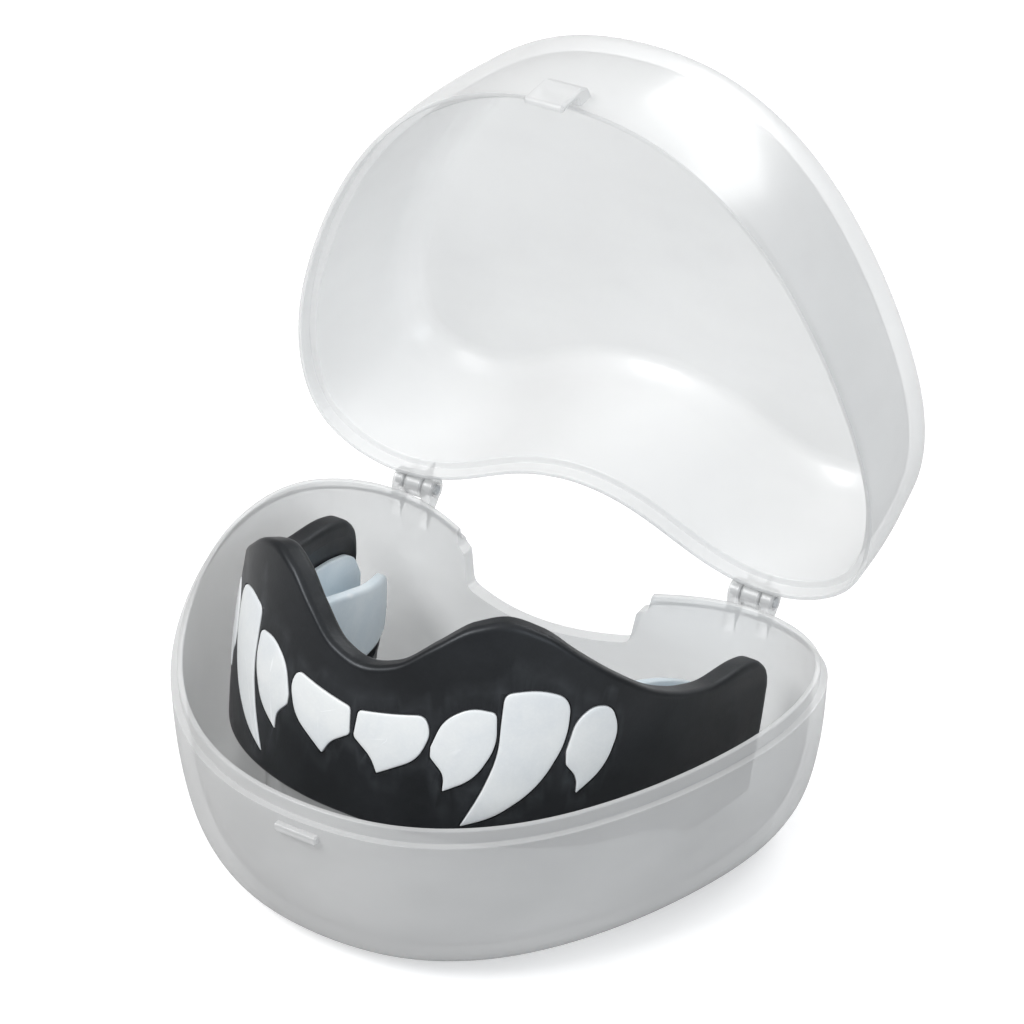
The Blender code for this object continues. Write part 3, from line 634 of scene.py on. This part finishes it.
# ---------- the guard's arch ----------
def arch_table():
    """Arc length, heading in radians, x and y along the front wall's face."""
    arc = np.linspace(0, TABLE_END, TABLE_POINTS)
    heading = np.radians(smooth(HEADING, arc))
    step = arc[1] - arc[0]
    cos, sin = np.cos(heading), np.sin(heading)
    x = np.concatenate([[0], np.cumsum((cos[1:] + cos[:-1]) / 2 * step)])
    y = np.concatenate([[0], np.cumsum((sin[1:] + sin[:-1]) / 2 * step)])
    return arc, heading, x, y + GUARD_FRONT_Y


ARCH = arch_table()


def at_arch(arc, out, z):
    """Points from arc length, distance out of the front wall's face and height."""
    arc, out, z = np.broadcast_arrays(*(np.asarray(value, float) for value in (arc, out, z)))
    side = np.where(arc < 0, -1.0, 1.0)
    heading, x, y = (np.interp(abs(arc), ARCH[0], column) for column in ARCH[1:])
    x = x + out * np.sin(heading)
    y = y - out * np.cos(heading)
    return np.stack([side * x, y, z], axis=-1)


def lean(z):
    """How far out the front wall's face stands; it is 0 at its widest place."""
    return -WALL_BEND * np.asarray(z - WIDEST_Z, float) ** 2


def sweep(section, stations):
    """Lofts the (distance out, z) sections along the arch."""
    return loft([at_arch(arc, *section(arc).T) for arc in stations])


# ---------- case ----------
OUTLINE = spline(
    [*OUTLINE_HALF, OUTLINE_BACK, *((-x, y) for x, y in OUTLINE_HALF[:0:-1])],
    OUTLINE_POINTS,
    closed=True,
)


def inward(loop):
    """Unit normals pointing into a loop that runs anticlockwise."""
    tangents = np.roll(loop, -1, 0) - np.roll(loop, 1, 0)
    tangents /= np.linalg.norm(tangents, axis=1)[:, None]
    return np.stack([-tangents[:, 1], tangents[:, 0]], axis=1)


OUTLINE_IN = inward(OUTLINE)


def case_ring(inset, z):
    return np.column_stack([OUTLINE + OUTLINE_IN * inset, np.full(len(OUTLINE), z)])


def dome_ring(z, scale):
    """A ring of the lid's slightly domed top, whose edge is at z."""
    x, y, heights = case_ring(DOME_INSET, z + LID_DOME * (1 - scale * scale)).T
    y = CASE_CENTRE_Y + (y - CASE_CENTRE_Y) * scale
    return np.column_stack([x * scale, y, heights])


def base_rings():
    outside = spline(BASE_OUTSIDE, 40)
    rim = fillet([(*outside[-1], 0), *BASE_RIM], closed=False)
    inside = spline(BASE_INSIDE, 40)
    profile = np.concatenate([outside[:-1], rim, inside[1:]])
    return [case_ring(inset, z) for inset, z in profile]


def lid_rings():
    outside = spline(LID_OUTSIDE, 40)
    skirt = fillet([(*outside[-1], 0), *LID_SKIRT], closed=False)
    inside = spline(LID_INSIDE, 32)
    profile = np.concatenate([outside, skirt[1:-1], inside])
    return (
        [dome_ring(LID_TOP_Z, scale) for scale in DOME_SCALES]
        + [case_ring(inset, z) for inset, z in profile]
        + [dome_ring(LID_CEILING_Z, scale) for scale in DOME_SCALES[::-1]]
    )


def barrel_loop(arc_deg, web):
    """The (y, z) outline of a hinge barrel and the web that joins it to the case."""
    angles = np.radians(np.linspace(*arc_deg, 40))
    y, z = HINGE_Y + BARREL_R * np.cos(angles), HINGE_Z + BARREL_R * np.sin(angles)
    return [*zip(y, z), *((HINGE_Y + dy, HINGE_Z + dz) for dy, dz in web)]


def plate(loop, x0, x1, bevel):
    """A (y, z) outline carried from x0 to x1 with bevelled rims."""
    loop = np.array(loop, float)
    small = grown(loop, -bevel)
    stations = ((x0, small), (x0 + bevel, loop), (x1 - bevel, loop), (x1, small))
    return loft([np.column_stack([np.full(len(loop), x), ring]) for x, ring in stations])


def rod(middle, half, radius, sinks=(0.0,), sides=48):
    """A round bar on the hinge's axis; its ends narrow inwards through the sinks."""
    angles = np.arange(sides) / sides * 2 * math.pi

    def ring(x, sink):
        y = HINGE_Y + (radius - sink) * np.cos(angles)
        z = HINGE_Z + (radius - sink) * np.sin(angles)
        return np.column_stack([np.full(sides, x), y, z])

    left = [ring(middle - half + sink, sink) for sink in sinks]
    right = [ring(middle + half - sink, sink) for sink in sinks[::-1]]
    return loft(left + right)


def hinge_bores():
    return [rod(side * HINGE_X, BORE_HALF, BORE_R) for side, _ in SIDES]


def rib_section(arc):
    """The rib's section, its top just under the leaning guard."""
    pitch = math.radians(GUARD_PITCH_DEG)
    y = at_arch(arc, RIB_MIDDLE, 0.0)[1]
    drop = (PAD_DROP + PAD_FIT_GAP if abs(arc) > RIB_STEP_ARC else 0.0) + FIT_GAP
    top = GUARD_Z - (y - GUARD_FRONT_Y) * math.tan(pitch) - drop / math.cos(pitch) - 0.2
    half, foot_z = RIB_THICK / 2, FLOOR_Z - 0.7
    foot = half + 0.15
    corners = [(-foot, foot_z, 0), (foot, foot_z, 0), (half, top, 0.4), (-half, top, 0.4)]
    return fillet(corners, 4) + (RIB_MIDDLE, 0)


def notch():
    """The body cut out of the back wall, drawn in x and z."""
    right = [
        (NOTCH_HALF_LOW, NOTCH_Z, 1.2),
        (NOTCH_HALF_LOW + 0.7, RIM_Z - 2.6, 0.5),
        (NOTCH_HALF_TOP, RIM_Z - 2.2, 0.6),
        (NOTCH_HALF_TOP + 0.5, RIM_Z + 1, 0),
    ]
    left = [(-x, z, radius) for x, z, radius in right]
    loop = fillet([left[0]] + right + left[:0:-1], 6)
    return loft([np.column_stack([loop[:, 0], np.full(len(loop), y), loop[:, 1]]) for y in NOTCH_Y])


def make_base(surface):
    obj = new_object("case_base_shell", *loft(base_rings()), surface)
    added = [sweep(rib_section, RIB_STATIONS)]
    lug = barrel_loop(LUG_ARC, LUG_WEB)
    near, far = KNUCKLE_HALF + LUG_GAP, KNUCKLE_HALF + LUG_GAP + LUG_WIDE
    for side, _ in SIDES:
        for x0, x1 in ((-far, -near), (near, far)):
            added.append(plate(lug, side * HINGE_X + x0, side * HINGE_X + x1, HINGE_BEVEL))
    added.append(plate(fillet(CATCH), -CATCH_HALF, CATCH_HALF, CATCH_BEVEL))
    combine(obj, added, hinge_bores() + [notch()])
    finish_edges(obj)
    return obj


def make_lid(surface):
    """The lid is made closed, then opened about the hinge with the turn put into the mesh."""
    obj = new_object("case_lid_shell", *loft(lid_rings()), surface)
    added = [plate(fillet(TAB), -TAB_HALF, TAB_HALF, TAB_BEVEL)]
    knuckle = barrel_loop(KNUCKLE_ARC, KNUCKLE_WEB)
    for side, _ in SIDES:
        middle = side * HINGE_X
        added.append(plate(knuckle, middle - KNUCKLE_HALF, middle + KNUCKLE_HALF, HINGE_BEVEL))
    combine(obj, added, hinge_bores())
    turn_back(obj, LID_OPEN_DEG, HINGE_Y, HINGE_Z)
    finish_edges(obj)
    return obj


def make_pin(side, word, surface):
    """A hinge pin with countersunk ends."""
    sinks = PIN_SINK * (1 - np.sin(np.linspace(0, math.pi / 2, 5)))
    pin = rod(side * HINGE_X, PIN_HALF, PIN_R, sinks)
    return new_object(f"hinge_pin_{word}_moulded", *pin, surface)


# ---------- mouthguard shell and liner ----------
def guard_stations(count):
    """Arc lengths from end to end, closer together towards the ends."""
    part = np.linspace(-1, 1, count)
    return ARC_END * (part + 0.10 * np.sin(part * math.pi))


def end_round(shape, arc, radius):
    """The section drawn in close to an end of the guard, so that the end is rounded."""
    distance = ARC_END - abs(arc)
    if distance >= radius:
        return shape
    fullness = math.sqrt(max(0.0, 1 - ((radius - distance) / radius) ** 2))
    centre = shape.mean(axis=0)
    return centre + (shape - centre) * (1 - (1 - fullness) * 0.16)


def shell_section(arc):
    """The front wall with its thick rim, and the bite platform behind it."""
    height = size_at(WALL_HEIGHT, arc)
    wide = size_at(PLATFORM_WIDE, arc) - 0.35
    rim = float(lean(height))
    corners = [  # distance out, z, corner radius
        (float(lean(0)), 0.0, 0.55),
        *((float(lean(z)), z, 0) for z in np.linspace(1.2, height - 1.9, 9)),
        (rim + 0.05, height, 1.35),
        (rim - RIM_THICK, height, 1.25),
        (rim - RIM_THICK - 0.02, height - 2.2, 0.6),
        (-WEB_THICK + float(lean(0.62 * height)), 0.62 * height, 0.8),
        (-WEB_THICK, 0.36 * height, 0.8),
        (-WEB_THICK - 0.1, PLATFORM_THICK, 0.9),
        (-wide, PLATFORM_THICK, 0.5),
        (-wide, 0.0, 0.7),
    ]
    return end_round(fillet(corners, 6), arc, 0.9)


def liner_section(arc):
    """The trough inside the shell: up the front wall, over the platform, up the palate side."""
    height = size_at(WALL_HEIGHT, arc)
    palate = size_at(PALATE_HEIGHT, arc)
    inner = -size_at(PLATFORM_WIDE, arc)
    top = 0.70 * height
    outer = -WEB_THICK - LINER_GAP - 0.35
    outer_top = outer + float(lean(top))
    trough_z = PLATFORM_THICK + LINER_THICK + 0.2
    foot_z = PLATFORM_THICK + LINER_GAP
    corners = [  # distance out, z, corner radius
        (outer_top + 0.12, top, 0.3),
        (outer_top - 0.75, top, 0.35),
        (outer - LINER_THICK + 0.1, 0.42 * height, 1.5),
        (outer - LINER_THICK - 0.2, trough_z, 1.6),
        (inner + PALATE_THICK + 0.4, trough_z, 1.7),
        (inner + PALATE_THICK - 0.25, palate - 0.5, 0.8),
        (inner + PALATE_THICK - 0.45, palate, 0.9),
        (inner + 0.35, palate, 0.9),
        (inner - 0.05, 0.62 * palate, 2.0),
        (inner - 0.12, PLATFORM_THICK + 0.6, 1.0),
        (inner + 0.05, foot_z, 0.3),
        (outer - 0.3, foot_z, 0.6),
        (outer, 0.40 * height, 1.5),
    ]
    return end_round(fillet(corners, 6), arc, 1.3)


# ---------- bite pads and grooves ----------
def pad_at(arc, out):
    """Pads are drawn from arc length 40 to 64.2, then drawn in to their place on the arch."""
    return 45.6 + (arc - 40.0) * 0.76, out * 0.86


def pad_body(side):
    """A rear bite pad; its outer side carries on the line of the front wall."""
    front = spline(PAD_FRONT, 70)
    rear = fillet([(*front[-1], 0), *PAD_REAR], 7, closed=False)
    outer = np.column_stack([np.linspace(60.0, 44.0, 30), np.full(30, -0.1)])
    arcs, outs = pad_at(*np.concatenate([front, rear[1:], outer[1:-1]]).T)
    loop = np.column_stack([side * arcs, outs])
    rings = []
    for z, inset in (
        (2.0, 0.0),
        (1.0, 0.0),
        (0.0, 0.0),
        (-PAD_DROP + PAD_BEVEL, 0.0),
        (-PAD_DROP + PAD_BEVEL * 0.45, PAD_BEVEL * 0.18),
        (-PAD_DROP + PAD_BEVEL * 0.12, PAD_BEVEL * 0.5),
        (-PAD_DROP, PAD_BEVEL),
    ):
        arc, out = (grown(loop, -inset) if inset else loop).T
        wall_out = out + PAD_SIDE_OUT + float(lean(max(z, 0.0)))
        rings.append(at_arch(arc, np.where(outs > -0.5, wall_out, out), z))
    return loft(rings)


def front_outline(half):
    """The front groove: outer and inner bars joined by square steps."""
    path = [(-arc, out) for arc, out in FRONT_PATH_HALF[::-1]] + list(FRONT_PATH_HALF)
    return refined(eased(band(path, half, round_ends=True), 0.5, 0.25), 0.7)


def pad_path(side):
    """The meander of a rear pad, which starts and ends on its inner bars."""
    steps = [(39.0, -0.9), (41.6, -PAD_SWING)]
    swing = PAD_SWING
    for arc in PAD_STROKES:
        steps += [(arc, -swing), (arc, swing)]
        swing = -swing
    steps.append((66.5, -PAD_SWING))
    drawn = [pad_at(arc, size_at(PAD_MIDDLE, arc) + offset) for arc, offset in steps]
    return [(side * arc, out) for arc, out in drawn]


def core_path(side):
    """The meander of a pad, with its ends cut back for the core."""
    path = pad_path(side)
    for end, first, second, arc in ((0, 0, 1, CORE_ENDS[0]), (-1, -2, -1, CORE_ENDS[1])):
        start, stop = path[first], path[second]
        part = (side * arc - start[0]) / (stop[0] - start[0])
        path[end] = (side * arc, start[1] + part * (stop[1] - start[1]))
    return path


def pad_groove_outline(path, half):
    return refined(eased(band(path, half), 0.65, 0.3), 0.7)


def upright(outline, z0, z1):
    """An (arc length, distance out) outline carried from z0 to z1."""
    arc, out = outline.T
    return loft([at_arch(arc, out, z1), at_arch(arc, out, z0)])


def groove_cut(outline, mouth_z, deep):
    return upright(outline, mouth_z - 1.0, mouth_z + deep)


def core_body(outline, mouth_z, deep):
    return upright(outline, mouth_z + CORE_RECESS, mouth_z + deep - CORE_GAP)


# ---------- fangs ----------
def fang_outline(name, side):
    """A fang's (arc length, z) outline: soft corners and a sharp tip, at small even steps."""
    (arc0, arc1), (z0, z1), corners = FANGS[name]
    placed = [(arc0 + u * (arc1 - arc0), z0 + v * (z1 - z0), radius) for u, v, radius in corners]
    return refined(fillet(placed, 13), 0.35) * (side, 1)


def fang_cut(name, side):
    arc, z = grown(fang_outline(name, side), FANG_GAP).T
    return loft([at_arch(arc, lean(z) + out, z) for out in (-0.6, 1.2)])


def fang_body(name, side):
    """A thin inlay that follows the wall, with softly rounded edges."""
    loop = fang_outline(name, side)
    weights = crosses(loop)
    doubled = loop + np.roll(loop, -1, 0)
    centre = np.array([(doubled[:, k] * weights).sum() / (3 * weights.sum()) for k in (0, 1)])
    if name == "canine":
        centre = centre + np.array([side * CANINE_SHIFT[0], CANINE_SHIFT[1]])
    rings = []
    for scale, out in FANG_RINGS:
        arc, z = (centre + (loop - centre) * scale).T
        rings.append(at_arch(arc, lean(z) + out, z))
    return loft(rings)


# ---------- the guard's pieces ----------
def make_shell(black, gloss):
    shell = new_object(
        "guard_shell_black", *sweep(shell_section, guard_stations(SHELL_STATIONS)), black
    )
    cuts = [groove_cut(front_outline(FRONT_GROOVE_HALF), 0.0, FRONT_GROOVE_DEEP)]
    for side, _ in SIDES:
        outline = pad_groove_outline(pad_path(side), GROOVE_HALF)
        cuts.append(groove_cut(outline, -PAD_DROP, PAD_GROOVE_DEEP))
    cuts += [fang_cut(name, side) for name in FANGS for side, _ in SIDES]
    combine(shell, [pad_body(side) for side, _ in SIDES], cuts)
    # The walls of the pads and of their grooves come out of a polished part of the mould
    shell.data.materials.append(gloss)
    for face in shell.data.polygons:
        low_down = -(PAD_DROP - 0.05) * MM < face.center.z < -0.05 * MM
        if low_down and abs(face.normal.z) < 0.5:
            face.material_index = 1
    finish_edges(shell)
    return shell


def make_guard(black, gloss, pale, painted_shade, ivory):
    """Every piece of the guard with its node and material slot."""
    pieces = [(make_shell(black, gloss), "guard_outer_shell", "black_eva")]
    body = sweep(liner_section, guard_stations(LINER_STATIONS))
    liner = new_object("guard_liner_pale", *body, pale)
    pieces.append((liner, "guard_inner_liner", "pale_liner"))
    cores = [("front", front_outline(FRONT_GROOVE_HALF - CORE_GAP), 0.0, FRONT_GROOVE_DEEP)]
    for side, word in SIDES:
        outline = pad_groove_outline(core_path(side), GROOVE_HALF - CORE_GAP)
        cores.append((word, outline, -PAD_DROP, PAD_GROOVE_DEEP))
    for word, *core in cores:
        # The cores are white inner foam; their grey colour is painted shade.
        obj = new_object(f"bite_core_{word}_grey", *core_body(*core), painted_shade)
        pieces.append((obj, f"bite_core_{word}", "grey_core"))
    for name in FANGS:
        for side, word in SIDES:
            node = f"fang_{name}_{word}"
            obj = new_object(f"{node}_inlay", *fang_body(name, side), ivory, sharp_deg=50)
            pieces.append((obj, node, "fang_inlay"))
    for obj, _, _ in pieces:
        turn_back(obj, GUARD_PITCH_DEG, GUARD_FRONT_Y, 0.0, lift=GUARD_Z)
    return pieces


# ---------- the object ----------
base_plastic = clear_plastic(
    "frosted_clear_base",
    body=(0.78, 0.78, 0.78), shade_colour=(0.69, 0.69, 0.69), face_milk=0.46, edge_milk=0.24,
)
lid_plastic = clear_plastic(
    "frosted_clear_lid",
    body=(0.81, 0.81, 0.81), shade_colour=(0.75, 0.75, 0.75), face_milk=0.43, edge_milk=0.22,
)
guard_surfaces = (
    eva(
        "black_eva", dark=(0.006, 0.0065, 0.0075), light=(0.012, 0.013, 0.015),
        rough=(0.32, 0.46), grain=1.0, edge=(0.035, 0.038, 0.042),
        # The bluish tint on its reflections repeats the cool fill lamp's colour: a painted
        # reflection colour.
        tint=(0.90, 0.95, 1.0), specular=0.4,
    ),
    eva(
        "black_eva_polished", dark=(0.006, 0.0065, 0.007), light=(0.010, 0.011, 0.012),
        rough=(0.12, 0.22), grain=0.25, edge=(0.03, 0.03, 0.033),
    ),
    # The liner's foam is white; the bluish cast of its colours is painted cool shade.
    eva(
        "pale_liner_eva", dark=(0.68, 0.77, 0.83), light=(0.79, 0.86, 0.90),
        rough=(0.32, 0.44), grain=0.6, edge=(0.86, 0.91, 0.94), sheen=0.05,
    ),
    # The cores stand for the white inner foam seen in the underside grooves; their grey colours are
    # painted shade, as they face down.
    eva(
        "grey_core_eva", dark=(0.47, 0.46, 0.47), light=(0.60, 0.59, 0.60),
        rough=(0.42, 0.56), grain=1.2,
    ),
    eva(
        "fang_inlay_eva", dark=(0.72, 0.75, 0.77), light=(0.80, 0.82, 0.82),
        rough=(0.30, 0.38), grain=0.5, edge=(0.9, 0.92, 0.93),
    ),
)

made = [  # object, body it rides on, material slot, node it replaces
    (make_base(base_plastic), "base", "clear_base", "case_base"),
    (make_lid(lid_plastic), "lid", "clear_lid", "case_lid"),
]
pin_surface = pin_plastic()
for side, word in SIDES:
    made.append((make_pin(side, word, pin_surface), "base", "hinge_pin", f"hinge_pin_{word}"))
for obj, node, slot in make_guard(*guard_surfaces):
    made.append((obj, "guard", slot, node))
for obj, body, slot, node in made:
    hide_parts(node)
    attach(obj, body)

# ---------- stage, light and camera, in metres ----------
scene = bpy.context.scene


def make_floor():
    surface = pale_floor()
    bpy.ops.mesh.primitive_plane_add(size=6.0, location=(0, 0, -0.0002))
    floor = bpy.context.object
    floor.name = "floor"
    floor.data.materials.append(surface)


def make_world():
    """White to the camera; grey below and pale above to everything else."""
    world = bpy.data.worlds.new("studio")
    scene.world = world
    nodes = Nodes(world)
    generated = nodes.add("ShaderNodeTexCoord").outputs["Generated"]
    direction = nodes.add("ShaderNodeSeparateXYZ", i0=generated)
    sky = nodes.add("ShaderNodeValToRGB", i0=direction.outputs[2])
    # Adding a stop sorts the ramp, so the order in which the stops are taken and set matters
    elements = sky.color_ramp.elements
    stops = [elements[0], elements[1], elements.new(0.5)]
    shades = ((0.0, (0.24, 0.24, 0.245)), (1.0, (0.97, 0.98, 1.0)), (0.45, (0.33, 0.335, 0.34)))
    for element, (position, colour) in zip(stops, shades):
        element.position = position
        element.color = (*colour, 1)
    seen = nodes.add("ShaderNodeBackground", Color=(1, 1, 1, 1))
    lit = nodes.add("ShaderNodeBackground", Color=sky, Strength=0.9)
    camera_ray = nodes.add("ShaderNodeLightPath").outputs["Is Camera Ray"]
    chosen = nodes.add("ShaderNodeMixShader", i0=camera_ray, i1=lit, i2=seen)
    nodes.add("ShaderNodeOutputWorld", i0=chosen)


def area_light(name, at, to, size, power, colour=(1, 1, 1)):
    lamp = bpy.data.lights.new(name, "AREA")
    lamp.shape = "RECTANGLE"
    lamp.size, lamp.size_y = size
    lamp.energy, lamp.color = power, colour
    obj = bpy.data.objects.new(name, lamp)
    scene.collection.objects.link(obj)
    obj.location = at
    obj.rotation_euler = (Vector(to) - Vector(at)).to_track_quat("-Z", "Y").to_euler()


def make_camera(target, azimuth_deg, elevation_deg, distance):
    """Looks at the target; the azimuth turns from the front towards +x."""
    data = bpy.data.cameras.new("camera")
    camera = bpy.data.objects.new("camera", data)
    scene.collection.objects.link(camera)
    scene.camera = camera
    azimuth, elevation = math.radians(azimuth_deg), math.radians(elevation_deg)
    away = Vector((
        math.sin(azimuth) * math.cos(elevation),
        -math.cos(azimuth) * math.cos(elevation),
        math.sin(elevation),
    ))
    camera.location = Vector(target) + away * distance
    camera.rotation_euler = (-away).to_track_quat("-Z", "Y").to_euler()
    data.lens, data.sensor_width = 117.0, 36.0
    data.clip_start, data.clip_end = 0.01, 20.0


make_floor()
make_world()
area_light("key", at=(-0.30, -0.42, 0.62), to=(0, 0, 0.03), size=(0.40, 0.28), power=4.2)
area_light(
    "fill", at=(0.55, -0.28, 0.30), to=(0, 0, 0.03), size=(0.35, 0.35), power=1.4,
    colour=(0.9, 0.95, 1.0),
)
area_light("back", at=(0.10, 0.60, 0.45), to=(0, 0.02, 0.04), size=(0.5, 0.2), power=2.4)
make_camera(
    target=(0.0035, 0.0105, 0.0425), azimuth_deg=31.0, elevation_deg=33.5, distance=0.40
)
scene.view_settings.view_transform = "Standard"
